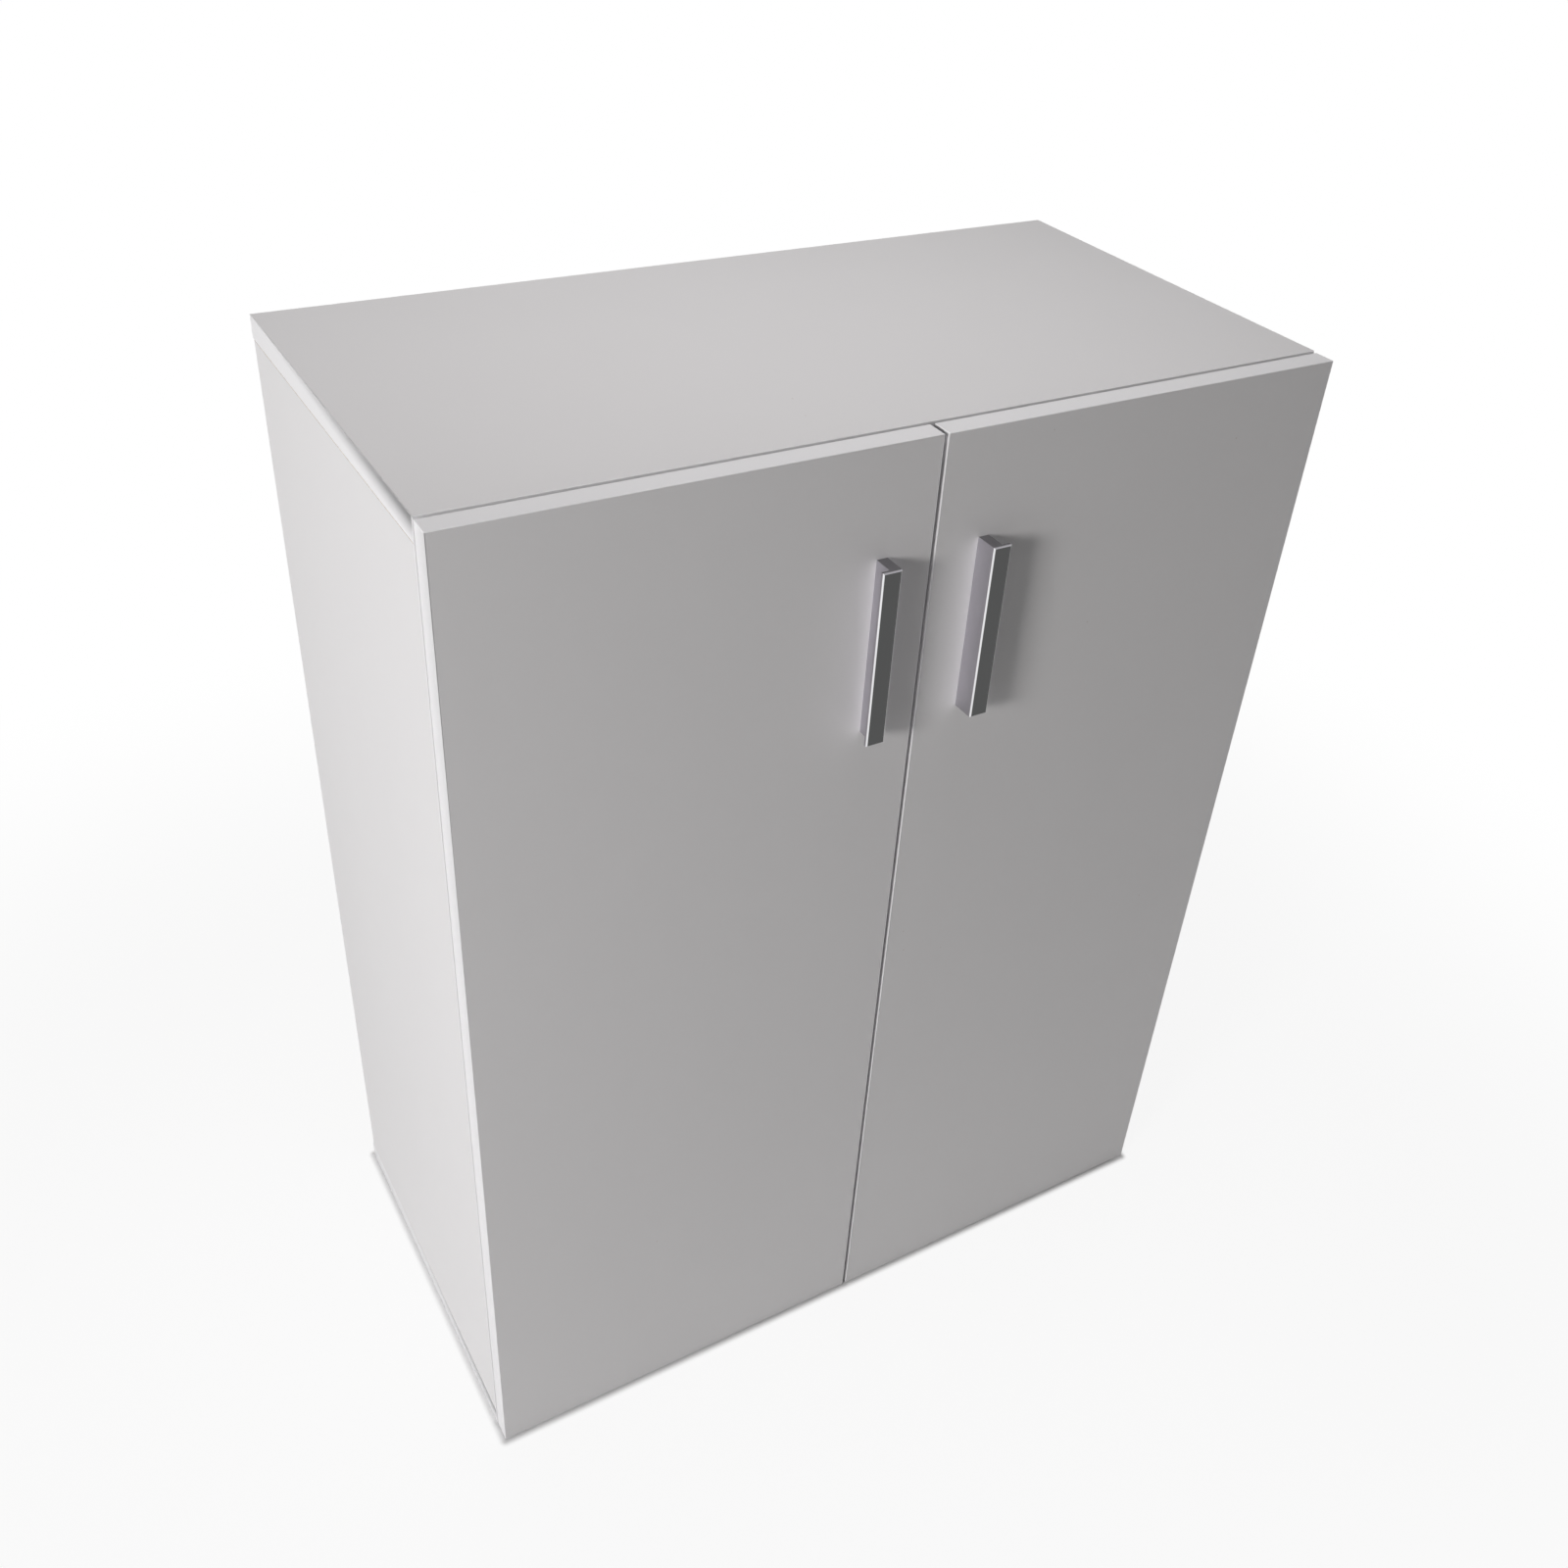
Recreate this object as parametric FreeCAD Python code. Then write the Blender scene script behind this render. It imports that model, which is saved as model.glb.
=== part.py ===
"""Two-door melamine cabinet, made of boards, edge bands, fittings, concealed hinges and handles.

Frame: millimetres, +Z up, +X to the right, the doors face -Y, the origin is in the middle of the base.
"""
import FreeCAD, Part
import math
import os

V = FreeCAD.Vector

# Driving dimensions
WIDTH = 600.0
HEIGHT = 760.0
BOARD = 15.0            # thickness of every board
BOARD_DEPTH = 295.0     # top and bottom, front to back
BACK = 3.0              # back panel, nailed to the sides between the top and the bottom
BACK_CLEAR = 0.5        # from the back panel to the top and the bottom
BACK_INSET = 1.5        # from the back panel's ends to the sides' outer faces
BAND = 0.5              # edge band
DOOR_GAP = 2.0          # from the carcass to the door's back face
DOOR_REVEAL_TOP = 0.5
DOOR_REVEAL_BOTTOM = 1.5
CENTRE_GAP = 3.0
HANDLE_DEPTH = 16.3

TOTAL_DEPTH = HANDLE_DEPTH + BOARD + DOOR_GAP + BOARD_DEPTH
FRONT = -TOTAL_DEPTH / 2 + HANDLE_DEPTH + BOARD + DOOR_GAP   # front edges of the carcass boards
OUTER_REAR = FRONT + BOARD_DEPTH                            # rear edges of the top and the bottom
REAR = OUTER_REAR - BACK                                    # rear edges of the sides
HALF = WIDTH / 2
INNER = HALF - BOARD
DOOR_FACE = FRONT - DOOR_GAP - BOARD
DOOR_REAR = FRONT - DOOR_GAP
DOOR_LOW = DOOR_REVEAL_BOTTOM
DOOR_HIGH = HEIGHT - DOOR_REVEAL_TOP

# Hanging rail
RAIL_HEIGHT = 80.0
WALL_HOLE_R = 3.0
WALL_HOLE_SPACING = 460.0

# Shelf and its pins
SHELF_UNDERSIDE = 372.5
SHELF_SETBACK = 20.0
SHELF_SIDE_GAP = 1.0
SHELF_REAR_GAP = 3.0
PIN_R = 2.5
PIN_HOLE_DEPTH = 10.0
PIN_PITCH = 32.0
PIN_ROWS = range(-3, 4)
PIN_SETBACK = 37.0

# Knock-down fittings
CAM_R = 7.5
CAM_DEPTH = 12.5
CAM_FROM_END = 34.0
CAM_INSET = 50.0        # from the front and rear edges
BOLT_R = 2.5
BOLT_BORE_R = 3.5
BOLT_HEAD_R = 3.1
BOLT_THREAD = 10.0
DOWEL_R = 4.0
DOWEL_SHORT = 10.0
DOWEL_LONG = 20.0
DOWEL_INSET = 90.0

# Nails
NAIL_R = 0.7
NAIL_LENGTH = 18.0
NAIL_HEAD_R = 2.0
NAIL_HEAD = 0.6
NAILS_ACROSS = 4
NAILS_UP = 7
NAIL_FROM_END = 35.0

# Handles
HANDLE_LENGTH = 118.5
HANDLE_FROM_TOP = 70.5
HANDLE_INSET = 32.0     # from the middle of the cabinet to the handle's inner face
HANDLE_WIDTH = 13.0
HANDLE_LEG = 7.4
HANDLE_LIP = 2.75
HANDLE_ARRIS = 0.8
HANDLE_SCREWS = 96.0
HANDLE_SCREW_R = 2.0
HANDLE_SCREW_GRIP = 10.0
SCREW_HEAD_R = 4.0
SCREW_HEAD = 2.4

# Door bumpers
BUMPER_R = 4.0
BUMPER = 1.5
BUMPER_INSET = 20.0

# Concealed hinges: places are (u, v, w), with u inward from the side panel's outer face,
# v back from the carcass front and w up from the hinge's middle
HINGE_FROM_ENDS = 95.0
ARM_PIVOT = (30.0, -6.0)
CUP_PIVOT = (12.0, -7.0)
PIVOT_R = 1.25
PIVOT_HOLE_R = 1.3
CUP_CENTRE = 22.5
CUP_R = 17.5
CUP_WALL = 0.9
CUP_DEPTH = 11.5
FLANGE = 1.1
FLANGE_R = 19.0
FLANGE_WING = 29.0
FLANGE_WING_FROM = 25.0
FLANGE_WING_TO = 39.0
CUP_SCREW = (32.0, 22.5)
CUP_SCREW_R = 1.75
CUP_SCREW_LENGTH = 9.0
EAR_R = 3.0
EAR_FROM = 6.8
EAR_TO = 9.6
LINK_HALF = 6.4
LINK_EYE_R = 2.4
LINK_THICKNESS = 1.7
LINK_BULGE = (21.0, -10.0)
ARM_HALF = 8.2
ARM_SHEET = 1.4
ARM_TOP = 33.0
ARM_FOOT = 20.0
ARM_NOSE_R = 3.0
ARM_REAR = 62.0
ARM_WEB_FROM = -1.5
PLATE_BASE = 2.5
PLATE_FROM = 24.0
PLATE_TO = 58.0
PLATE_SCREW = (37.0, 16.0)
PLATE_SCREW_R = 2.5
PLATE_SCREW_LENGTH = 11.0
WING_HALF_WIDTH = 6.5
ARM_SCREWS = ((30.0, 1.9), (50.0, 2.6))   # distance back and radius: overlay screw, fixing screw
ARM_SCREW_HEAD = 1.8
ARM_SCREW_LENGTH = 10.0
COUNTERSINK = 2.0


def box(low, high):
    """A block between two opposite corners."""
    return Part.makeBox(high[0] - low[0], high[1] - low[1], high[2] - low[2], V(*low))


def rod(radius, start, end):
    """A round rod from one point to another."""
    along = V(*end) - V(*start)
    return Part.makeCylinder(radius, along.Length, V(*start), along)


def fuse(first, *others):
    return first.fuse(list(others)).removeSplitter()


def cut(shape, tools):
    return shape.cut(list(tools)) if tools else shape


def driver_cross(point, axis, reach, width, depth):
    """A cross-shaped driver recess, centred on a point of a screw's face, square to "x" or "y"."""
    turn = FreeCAD.Rotation(V(0, 1, 0) if axis == "x" else V(1, 0, 0), 90)
    slots = [box((-reach, -width / 2, -depth), (reach, width / 2, depth)),
             box((-width / 2, -reach, -depth), (width / 2, reach, depth))]
    for slot in slots:
        slot.Placement = FreeCAD.Placement(V(*point), turn)
    return slots


def save(node, shape):
    solids = shape.Solids
    result = solids[0] if len(solids) == 1 else Part.makeCompound(solids)
    result.exportStep("parts/" + node + ".step")
    volume = sum(solid.Volume for solid in solids)
    print("%-28s %3d solids %10.1f mm3 %s" % (node, len(solids), volume, result.isValid()))


def mirrored(shape):
    return shape.mirror(V(0, 0, 0), V(1, 0, 0))


def banded(low, high, edges):
    """A board whose listed edges, such as "-x", carry a band. Returns the board and its bands."""
    low, high = list(low), list(high)
    bands = []
    for edge in edges:
        axis = "xyz".index(edge[1])
        band_low, band_high = list(low), list(high)
        if edge[0] == "-":
            low[axis] += BAND
            band_high[axis] = low[axis]
        else:
            high[axis] -= BAND
            band_low[axis] = high[axis]
        bands.append(box(band_low, band_high))
    return box(low, high), Part.makeCompound(bands)


# Fittings that join the boards

def cam_places():
    """Side (-1 or 1), distance along the depth, the end's height and the way from it into the side."""
    for side in (-1, 1):
        for along in (FRONT + CAM_INSET, REAR - CAM_INSET):
            yield side, along, BOARD, 1
            yield side, along, HEIGHT - BOARD, -1


def cam_axis(side):
    return side * (HALF - BOARD / 2)


def cam_solid(side, along, end, way):
    height = end + way * CAM_FROM_END
    inner = side * INNER
    body = rod(CAM_R, (inner, along, height), (inner + side * CAM_DEPTH, along, height))
    axis = cam_axis(side)
    bore = rod(BOLT_BORE_R, (axis, along, height - way * CAM_R), (axis, along, height + way * 1.0))
    recess = driver_cross((inner, along, height), "x", CAM_R * 0.6, 1.2, 1.2)
    return cut(body, [bore] + recess)


def cam_bolt(side, along, end, way):
    axis = cam_axis(side)
    shank = rod(BOLT_R, (axis, along, end - way * BOLT_THREAD), (axis, along, end + way * (CAM_FROM_END - 4)))
    head = rod(BOLT_HEAD_R, (axis, along, end + way * (CAM_FROM_END - 4)), (axis, along, end + way * CAM_FROM_END))
    collar = rod(BOLT_HEAD_R, (axis, along, end), (axis, along, end + way * 2))
    return fuse(shank, head, collar)


def cam_cuts(side, along, end, way):
    """What one fitting takes out of its side panel."""
    height = end + way * CAM_FROM_END
    inner = side * INNER
    axis = cam_axis(side)
    pocket = rod(CAM_R, (inner, along, height), (inner + side * CAM_DEPTH, along, height))
    return [pocket, rod(BOLT_BORE_R, (axis, along, end), (axis, along, height))]


def corner_dowels():
    """Dowels between the sides and the top and bottom panels."""
    for side in (-1, 1):
        for along in (FRONT + DOWEL_INSET, REAR - DOWEL_INSET):
            for end, way in ((BOARD, 1), (HEIGHT - BOARD, -1)):
                x = cam_axis(side)
                yield rod(DOWEL_R, (x, along, end - way * DOWEL_SHORT), (x, along, end + way * DOWEL_LONG))


def rail_dowels():
    """Dowels between the sides and the hanging rail."""
    along = REAR - BOARD / 2
    for side in (-1, 1):
        for drop in (0.25, 0.75):
            height = HEIGHT - BOARD - drop * RAIL_HEIGHT
            start = (side * (INNER + DOWEL_SHORT), along, height)
            yield rod(DOWEL_R, start, (side * (INNER - DOWEL_LONG), along, height))


def spread(low, high, count):
    return [low + (high - low) * step / (count - 1) for step in range(count)]


def nail_places():
    """Points (x, z) of the nails, into the sides' rear edges and the hanging rail."""
    rail_line = HEIGHT - BOARD - RAIL_HEIGHT / 4
    for x in spread(-HALF / 2, HALF / 2, NAILS_ACROSS):
        yield x, rail_line
    for z in spread(BOARD + NAIL_FROM_END, HEIGHT - BOARD - NAIL_FROM_END, NAILS_UP):
        yield -cam_axis(1), z
        yield cam_axis(1), z


def nail(x, z):
    shank = rod(NAIL_R, (x, OUTER_REAR - NAIL_HEAD, z), (x, OUTER_REAR - NAIL_LENGTH, z))
    return fuse(shank, rod(NAIL_HEAD_R, (x, OUTER_REAR, z), (x, OUTER_REAR - NAIL_HEAD, z)))


# Shelf pins

def pin_columns():
    return FRONT + PIN_SETBACK, REAR - PIN_SETBACK


def pin_holes(side):
    centre = SHELF_UNDERSIDE - PIN_R
    for along in pin_columns():
        for row in PIN_ROWS:
            z = centre + row * PIN_PITCH
            yield rod(PIN_R, (side * INNER, along, z), (side * (INNER + PIN_HOLE_DEPTH), along, z))


def shelf_pin(side, along):
    z = SHELF_UNDERSIDE - PIN_R
    stem = rod(PIN_R, (side * (INNER + PIN_HOLE_DEPTH - 1), along, z), (side * (INNER - 9), along, z))
    collar = rod(PIN_R * 1.8, (side * INNER, along, z), (side * (INNER - 1), along, z))
    above = box((-HALF, along - 20, SHELF_UNDERSIDE), (HALF, along + 20, SHELF_UNDERSIDE + 20))
    return cut(fuse(stem, collar), [above])


# Concealed hinges, made for the left side and mirrored for the right

def place(u, v, w=0.0):
    return (-HALF + u, FRONT + v, w)


def upright(radius, point, low, high):
    """A rod along the hinge's height at a place (u, v)."""
    return rod(radius, place(point[0], point[1], low), place(point[0], point[1], high))


def plate_of(outline, low, high):
    """A flat plate whose outline is a closed list of (u, v), as thick as low to high in w."""
    points = [V(*place(u, v, low)) for u, v in outline]
    face = Part.Face(Part.makePolygon(points + points[:1]))
    return face.extrude(V(0, 0, high - low))


def hinge_plate():
    """Mounting plate on the side panel's inner face: a base, two screwed wings and a raised block."""
    inside = BOARD
    block_top = ARM_TOP - ARM_SHEET
    half = ARM_HALF - ARM_SHEET - 0.2
    block = box(place(inside, PLATE_FROM, -half), place(block_top, PLATE_TO, half))
    v_screw, w_screw = PLATE_SCREW
    low = place(inside, v_screw - WING_HALF_WIDTH, -w_screw)
    high = place(inside + PLATE_BASE, v_screw + WING_HALF_WIDTH, w_screw)
    ends = [rod(WING_HALF_WIDTH, place(inside, v_screw, w), place(inside + PLATE_BASE, v_screw, w))
            for w in (-w_screw, w_screw)]
    body = fuse(block, box(low, high), *ends)
    holes = [plate_screw_body(w) for w in (-w_screw, w_screw)]
    holes += [arm_screw(v, radius) for v, radius in ARM_SCREWS]
    return cut(body, holes)


def plate_screw_body(w):
    """Euro screw with a countersunk head, flush with the wing."""
    v = PLATE_SCREW[0]
    face = BOARD + PLATE_BASE
    shank = rod(PLATE_SCREW_R, place(face, v, w), place(face - PLATE_SCREW_LENGTH, v, w))
    head = Part.makeCone(PLATE_SCREW_R * 1.8, PLATE_SCREW_R, COUNTERSINK, V(*place(face, v, w)), V(-1, 0, 0))
    return fuse(shank, head)


def plate_screws():
    v, reach = PLATE_SCREW
    face = BOARD + PLATE_BASE
    return [cut(plate_screw_body(w), driver_cross(place(face, v, w), "x", PLATE_SCREW_R, 0.9, 1.0))
            for w in (-reach, reach)]


def arm_screw(v, radius):
    """Screw through the arm's web into the mounting plate's block."""
    shank = rod(radius, place(ARM_TOP, v), place(ARM_TOP - ARM_SCREW_LENGTH, v))
    head = rod(radius * 1.7, place(ARM_TOP, v), place(ARM_TOP + ARM_SCREW_HEAD, v))
    recess = driver_cross(place(ARM_TOP + ARM_SCREW_HEAD, v), "x", radius * 1.3, 1.0, 1.0)
    return cut(fuse(shank, head), recess)


def hinge_arm():
    """Channel-shaped arm: a web, two cheeks and a nose that holds the link's pin."""
    u_pin, v_pin = ARM_PIVOT
    cheek_outline = [(u_pin - ARM_NOSE_R, v_pin), (u_pin - ARM_NOSE_R, -1.0), (ARM_FOOT + 3, 5.0),
                     (ARM_FOOT, 12.0), (ARM_FOOT, ARM_REAR), (ARM_TOP, ARM_REAR), (ARM_TOP, v_pin)]
    solids = []
    for low in (-ARM_HALF, ARM_HALF - ARM_SHEET):
        solids.append(plate_of(cheek_outline, low, low + ARM_SHEET))
        solids.append(upright(ARM_NOSE_R, ARM_PIVOT, low, low + ARM_SHEET))
    web = box(place(ARM_TOP - ARM_SHEET, ARM_WEB_FROM, -ARM_HALF), place(ARM_TOP, ARM_REAR, ARM_HALF))
    body = fuse(web, *solids)
    holes = [arm_screw(v, radius) for v, radius in ARM_SCREWS]
    holes.append(upright(PIVOT_R, ARM_PIVOT, -ARM_HALF, ARM_HALF))
    return cut(body, holes)


def hinge_link():
    """Goose-necked link between the arm's pin and the cup's pin."""
    bend = Part.Circle(V(*place(*ARM_PIVOT)), V(*place(*LINK_BULGE)), V(*place(*CUP_PIVOT)))
    centre = bend.Center
    half = LINK_THICKNESS / 2
    middle = (V(*place(*LINK_BULGE)) - centre).normalize()
    angles = []
    for u, v in (ARM_PIVOT, CUP_PIVOT):
        arm = V(*place(u, v)) - centre
        angles.append(math.atan2(arm.y, arm.x))
    rings = []
    for ring_radius in (bend.Radius - half, bend.Radius + half):
        ends = [centre + V(math.cos(a), math.sin(a), 0) * ring_radius for a in angles]
        rings.append((ends[0], centre + middle * ring_radius, ends[1]))
    inner, outer = rings
    edges = [Part.Arc(*inner).toShape(), Part.makeLine(inner[2], outer[2]),
             Part.Arc(outer[2], outer[1], outer[0]).toShape(), Part.makeLine(outer[0], inner[0])]
    neck = Part.Face(Part.Wire(edges)).extrude(V(0, 0, 2 * LINK_HALF))
    neck.translate(V(0, 0, -LINK_HALF))
    eyes = [upright(LINK_EYE_R, point, -LINK_HALF, LINK_HALF) for point in (ARM_PIVOT, CUP_PIVOT)]
    holes = [upright(PIVOT_HOLE_R, point, -LINK_HALF, LINK_HALF) for point in (ARM_PIVOT, CUP_PIVOT)]
    return cut(fuse(neck, *eyes), holes)


def cup_envelope():
    """The space that the cup takes out of the door."""
    rear = -DOOR_GAP
    return rod(CUP_R, place(CUP_CENTRE, rear), place(CUP_CENTRE, rear - CUP_DEPTH))


def cup_screw_places():
    u, w = CUP_SCREW
    return (u, -w), (u, w)


def cup_screw_body(u, w):
    """Countersunk screw, flush with the flange."""
    rear = -DOOR_GAP
    start = place(u, rear + FLANGE, w)
    shank = rod(CUP_SCREW_R, start, place(u, rear - CUP_SCREW_LENGTH, w))
    return fuse(shank, Part.makeCone(CUP_SCREW_R * 1.8, CUP_SCREW_R, FLANGE, V(*start), V(0, -1, 0)))


def cup_screws():
    face = FLANGE - DOOR_GAP
    return [cut(cup_screw_body(u, w), driver_cross(place(u, face, w), "y", CUP_SCREW_R, 0.7, 0.6))
            for u, w in cup_screw_places()]


def hinge_cup():
    """Round cup let into the door, with a screwed flange and two ears for the pin."""
    rear = -DOOR_GAP
    outer = cup_envelope()
    flange = rod(FLANGE_R, place(CUP_CENTRE, rear), place(CUP_CENTRE, rear + FLANGE))
    wing_end = (FLANGE_WING_TO - FLANGE_WING_FROM) / 2
    wing = box(place(FLANGE_WING_FROM, rear, -FLANGE_WING + wing_end),
               place(FLANGE_WING_TO, rear + FLANGE, FLANGE_WING - wing_end))
    u_wing = FLANGE_WING_FROM + wing_end
    tips = [rod(wing_end, place(u_wing, rear, w), place(u_wing, rear + FLANGE, w))
            for w in (wing_end - FLANGE_WING, FLANGE_WING - wing_end)]
    bottom = rear - CUP_DEPTH + CUP_WALL
    hollow = rod(CUP_R - CUP_WALL, place(CUP_CENTRE, rear + FLANGE), place(CUP_CENTRE, bottom))
    shell = cut(fuse(outer, flange, wing, *tips), [hollow])
    u_pin, v_pin = CUP_PIVOT
    ears = []
    for low, high in ((-EAR_TO, -EAR_FROM), (EAR_FROM, EAR_TO)):
        ears.append(upright(EAR_R, CUP_PIVOT, low, high))
        ears.append(box(place(u_pin - EAR_R, rear - CUP_DEPTH + 0.1, low), place(u_pin + EAR_R, v_pin, high)))
    ears = [ear.common(outer) for ear in ears]
    holes = [cup_screw_body(u, w) for u, w in cup_screw_places()]
    holes.append(upright(PIVOT_R, CUP_PIVOT, -EAR_TO, EAR_TO))
    return cut(fuse(shell, *ears), holes)


def hinge_heights():
    return {"lower": HINGE_FROM_ENDS, "upper": HEIGHT - HINGE_FROM_ENDS}


def raised(shape, height):
    copy = shape.copy()
    copy.translate(V(0, 0, height))
    return copy


def at_all_hinges(shapes):
    """The same shapes at both hinges of the left door."""
    return [raised(shape, height) for height in hinge_heights().values() for shape in shapes]


def save_pair(name, shape):
    """Writes a left piece, and its mirror image as the right one."""
    save("left_" + name, shape)
    save("right_" + name, mirrored(shape))


def save_hinges():
    for level, height in hinge_heights().items():
        for piece, shape in (("plate", hinge_plate()), ("arm", hinge_arm()),
                             ("link", hinge_link()), ("cup", hinge_cup())):
            save_pair(level + "_hinge_" + piece, raised(shape, height))
    arm_screws = [arm_screw(v, radius) for v, radius in ARM_SCREWS]
    arm_pin = [upright(PIVOT_R, ARM_PIVOT, -ARM_HALF, ARM_HALF)]
    cup_pin = [upright(PIVOT_R, CUP_PIVOT, -EAR_TO, EAR_TO)]
    groups = {"hinge_plate_screws": plate_screws(), "hinge_arm_screws": arm_screws,
              "hinge_arm_pins": arm_pin, "hinge_cup_pins": cup_pin, "hinge_cup_screws": cup_screws()}
    for name, shapes in groups.items():
        save_pair(name, Part.makeCompound(at_all_hinges(shapes)))


# Doors and handles, made for the left door and mirrored for the right

def handle():
    """Extruded bar: a leg down to the door and a lip at its front that stands over the finger gap."""
    inner = -HANDLE_INSET
    top = HEIGHT - HANDLE_FROM_TOP
    front = DOOR_FACE - HANDLE_DEPTH
    bar = box((inner - HANDLE_WIDTH, front, top - HANDLE_LENGTH), (inner, DOOR_FACE, top))
    under = box((inner - HANDLE_WIDTH, front + HANDLE_LIP, top - HANDLE_LENGTH),
                (inner - HANDLE_LEG, DOOR_FACE, top))
    bar = cut(bar, [under])
    arrises = [edge for edge in bar.Edges
               if abs(edge.BoundBox.YMax - front) < 1e-6 and abs(edge.BoundBox.YMin - front) < 1e-6]
    return cut(bar.makeChamfer(HANDLE_ARRIS, arrises), handle_bores())


def handle_screw_heights():
    middle = HEIGHT - HANDLE_FROM_TOP - HANDLE_LENGTH / 2
    return middle - HANDLE_SCREWS / 2, middle + HANDLE_SCREWS / 2


def handle_bores():
    x = -HANDLE_INSET - HANDLE_LEG / 2
    for z in handle_screw_heights():
        yield rod(HANDLE_SCREW_R, (x, DOOR_REAR, z), (x, DOOR_FACE - HANDLE_SCREW_GRIP, z))


def handle_screws():
    x = -HANDLE_INSET - HANDLE_LEG / 2
    screws = []
    for z, shank in zip(handle_screw_heights(), handle_bores()):
        head = rod(SCREW_HEAD_R, (x, DOOR_REAR, z), (x, DOOR_REAR + SCREW_HEAD, z))
        rim = [edge for edge in head.Edges if edge.BoundBox.YMin > DOOR_REAR + SCREW_HEAD - 1e-6]
        head = head.makeFillet(SCREW_HEAD * 0.6, rim)
        recess = driver_cross((x, DOOR_REAR + SCREW_HEAD, z), "y", 2.2, 1.0, 1.2)
        screws.append(cut(fuse(head, shank), recess))
    return Part.makeCompound(screws)


def door_bumpers():
    x = -CENTRE_GAP / 2 - BUMPER_INSET
    pads = []
    for z in (BOARD / 2, HEIGHT - BOARD / 2):
        pad = rod(BUMPER_R, (x, DOOR_REAR, z), (x, DOOR_REAR + BUMPER, z))
        rim = [edge for edge in pad.Edges if edge.BoundBox.YMin > DOOR_REAR + BUMPER - 1e-6]
        pads.append(pad.makeFillet(BUMPER * 0.6, rim))
    return Part.makeCompound(pads)


def save_doors():
    low = (-HALF, DOOR_FACE, DOOR_LOW)
    high = (-CENTRE_GAP / 2, DOOR_REAR, DOOR_HIGH)
    core, bands = banded(low, high, ("-z", "+z", "-x", "+x"))
    bores = at_all_hinges([cup_envelope()] + cup_screws())
    save_pair("door_panel", cut(core, bores + list(handle_bores())))
    save_pair("door_edge_bands", bands)
    save_pair("handle", handle())
    save_pair("handle_screws", handle_screws())
    save_pair("door_bumpers", door_bumpers())


# Carcass boards

def save_boards():
    nails = [nail(x, z) for x, z in nail_places()]
    dowels = list(corner_dowels()) + list(rail_dowels())
    cams = list(cam_places())
    bolts = [cam_bolt(*spot) for spot in cams]

    for name, low, high in (("top", HEIGHT - BOARD, HEIGHT), ("bottom", 0.0, BOARD)):
        core, bands = banded((-HALF, FRONT, low), (HALF, OUTER_REAR, high), ("-y", "-x", "+x"))
        save(name + "_panel", cut(core, dowels + bolts))
        save(name + "_edge_bands", bands)

    side_low = (-HALF, FRONT, BOARD)
    side_high = (-INNER, REAR, HEIGHT - BOARD)
    core, bands = banded(side_low, side_high, ("-y",))
    for side, shape, edge in ((-1, core, bands), (1, mirrored(core), mirrored(bands))):
        tools = nails + dowels + list(pin_holes(side))
        for spot in cams:
            tools += cam_cuts(*spot)
        screws = at_all_hinges(plate_screws())
        tools += screws if side < 0 else [mirrored(screw) for screw in screws]
        name = "left" if side < 0 else "right"
        save(name + "_side_panel", cut(shape, tools))
        save(name + "_side_edge_band", edge)

    save("cam_locks", Part.makeCompound([cam_solid(*spot) for spot in cams]))
    save("cam_bolts", Part.makeCompound(bolts))
    save("wooden_dowels", Part.makeCompound(dowels))
    save_back(nails, dowels)


def wall_holes():
    z = HEIGHT - BOARD - RAIL_HEIGHT / 2
    for x in (-WALL_HOLE_SPACING / 2, WALL_HOLE_SPACING / 2):
        yield rod(WALL_HOLE_R, (x, REAR - BOARD, z), (x, OUTER_REAR, z))


def save_back(nails, dowels):
    half = HALF - BACK_INSET
    back = box((-half, REAR, BOARD + BACK_CLEAR), (half, OUTER_REAR, HEIGHT - BOARD - BACK_CLEAR))
    save("back_panel", cut(back, nails + list(wall_holes())))
    save("back_panel_nails", Part.makeCompound(nails))
    rail = box((-INNER, REAR - BOARD, HEIGHT - BOARD - RAIL_HEIGHT), (INNER, REAR, HEIGHT - BOARD))
    save("hanging_rail", cut(rail, dowels + nails + list(wall_holes())))


def save_shelf():
    half = INNER - SHELF_SIDE_GAP
    low = (-half, FRONT + SHELF_SETBACK, SHELF_UNDERSIDE)
    high = (half, REAR - SHELF_REAR_GAP, SHELF_UNDERSIDE + BOARD)
    core, band = banded(low, high, ("-y",))
    save("shelf", core)
    save("shelf_edge_band", band)
    pins = [shelf_pin(side, along) for side in (-1, 1) for along in pin_columns()]
    save("shelf_pins", Part.makeCompound(pins))


os.makedirs("parts", exist_ok=True)
save_boards()
save_shelf()
save_hinges()
save_doors()
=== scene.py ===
"""Finishes, lights and camera for a two-door cabinet of white faced board."""

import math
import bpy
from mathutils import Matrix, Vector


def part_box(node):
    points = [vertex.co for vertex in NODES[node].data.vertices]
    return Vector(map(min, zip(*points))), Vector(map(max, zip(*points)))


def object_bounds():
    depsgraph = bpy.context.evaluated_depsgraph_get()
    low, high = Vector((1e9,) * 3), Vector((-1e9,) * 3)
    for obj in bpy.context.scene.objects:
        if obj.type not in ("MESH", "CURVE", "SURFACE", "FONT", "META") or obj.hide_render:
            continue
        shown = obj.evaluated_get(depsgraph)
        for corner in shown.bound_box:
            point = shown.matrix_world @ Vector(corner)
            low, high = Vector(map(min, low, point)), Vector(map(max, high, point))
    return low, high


bl_info = {
    "name": "Two-Door Cabinet Finishes",
    "version": (1, 0, 0),
    "blender": (4, 5, 0),
    "location": "3D View > Sidebar > Cabinet",
    "description": "Gives the parts of a two-door cabinet their board, edging, metal and timber finishes",
    "category": "Material",
}

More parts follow.
